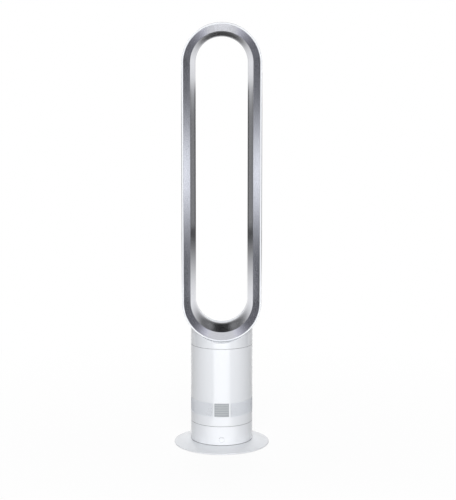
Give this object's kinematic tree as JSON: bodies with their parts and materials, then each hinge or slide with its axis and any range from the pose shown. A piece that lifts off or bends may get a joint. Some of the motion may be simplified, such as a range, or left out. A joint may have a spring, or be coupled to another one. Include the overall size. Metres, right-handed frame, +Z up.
{
  "type": "bladeless tower fan",
  "caption": "Free-standing bladeless tower fan: tall racetrack air loop on a swinging cylindrical blower column with an inlet band and display, on a round base.",
  "frame": {"origin": "middle of the round base, on the floor that the foot pads stand on", "axes": "+Z up the column and the loop, -Y out of the front where the air leaves, +X to the right seen from the front"},
  "size_m": [0.228, 0.228, 1.007],
  "materials": {
    "white_casing": "gloss moulded plastic",
    "silver_nozzle": "metallic silver lacquer on moulded plastic",
    "grille_plastic": "satin moulded plastic",
    "smoked_window": "tinted clear plastic",
    "dark_plastic": "fine moulded texture",
    "natural_acetal": "machined look",
    "rubber": "matt",
    "foam": "open-cell foam",
    "steel": "zinc plated",
    "board": "solder mask",
    "motor_iron": "laminated iron with copper windings"
  },
  "bodies": {
    "base": {"foot_pads": "rubber", "base_cover": "dark_plastic", "cover_screws": "steel", "base_plate": "white_casing", "column_screws": "steel", "lower_casing": "white_casing", "power_switch": "board", "control_board": "board", "cable_gland": "rubber", "swivel_deck": "dark_plastic", "deck_screws": "steel", "glide_ring": "natural_acetal", "swing_motor": "steel", "swing_motor_screws": "steel"},
    "button": {"power_button": "white_casing"},
    "pinion": {"drive_pinion": "natural_acetal", "output_shaft": "steel"},
    "head": {"turntable": "dark_plastic", "retaining_ring": "dark_plastic", "retaining_screws": "steel", "skirt": "white_casing", "inlet_grille": "grille_plastic", "display_bezel": "white_casing", "display_window": "smoked_window", "display_board": "board", "infrared_receiver": "dark_plastic", "inlet_foam": "foam", "body_casing": "white_casing", "inlet_bellmouth": "dark_plastic", "bellmouth_screws": "steel", "isolators": "rubber", "inlet_seal": "rubber", "impeller_housing": "dark_plastic", "motor_stator": "motor_iron", "motor_bearings": "steel", "motor_cover": "dark_plastic", "motor_bucket": "dark_plastic", "diffuser": "grille_plastic", "motor_board": "board", "bucket_cap": "dark_plastic", "silencer_foam": "foam", "outlet_seal": "rubber", "neck": "white_casing", "loop_shell": "white_casing", "loop_crown": "white_casing", "nozzle": "silver_nozzle", "nozzle_crown": "silver_nozzle", "slot_spacers": "white_casing", "flow_divider": "grille_plastic"},
    "rotor": {"impeller": "dark_plastic", "impeller_shaft": "steel", "motor_rotor": "steel"}
  },
  "joints": [
    {"name": "swing", "type": "hinge", "parent": "base", "child": "head", "pos_m": [0, 0, 0.0575], "axis": [0, 0, 1], "range_deg": [-35, 35]},
    {"name": "pinion_spin", "type": "hinge", "parent": "base", "child": "pinion", "pos_m": [0, 0.04, 0.055], "axis": [0, 0, 1], "range_deg": [-210, 210]},
    {"name": "impeller_spin", "type": "hinge", "parent": "head", "child": "rotor", "pos_m": [0, 0, 0.15], "axis": [0, 0, 1], "continuous": true},
    {"name": "power_press", "type": "slide", "parent": "base", "child": "button", "axis": [0, 1, 0], "range_m": [0, 0.0012], "stiffness_N_per_m": 800}
  ],
  "couplings": [
    {"joint": "pinion_spin", "follows": "swing", "ratio": 6}
  ]
}
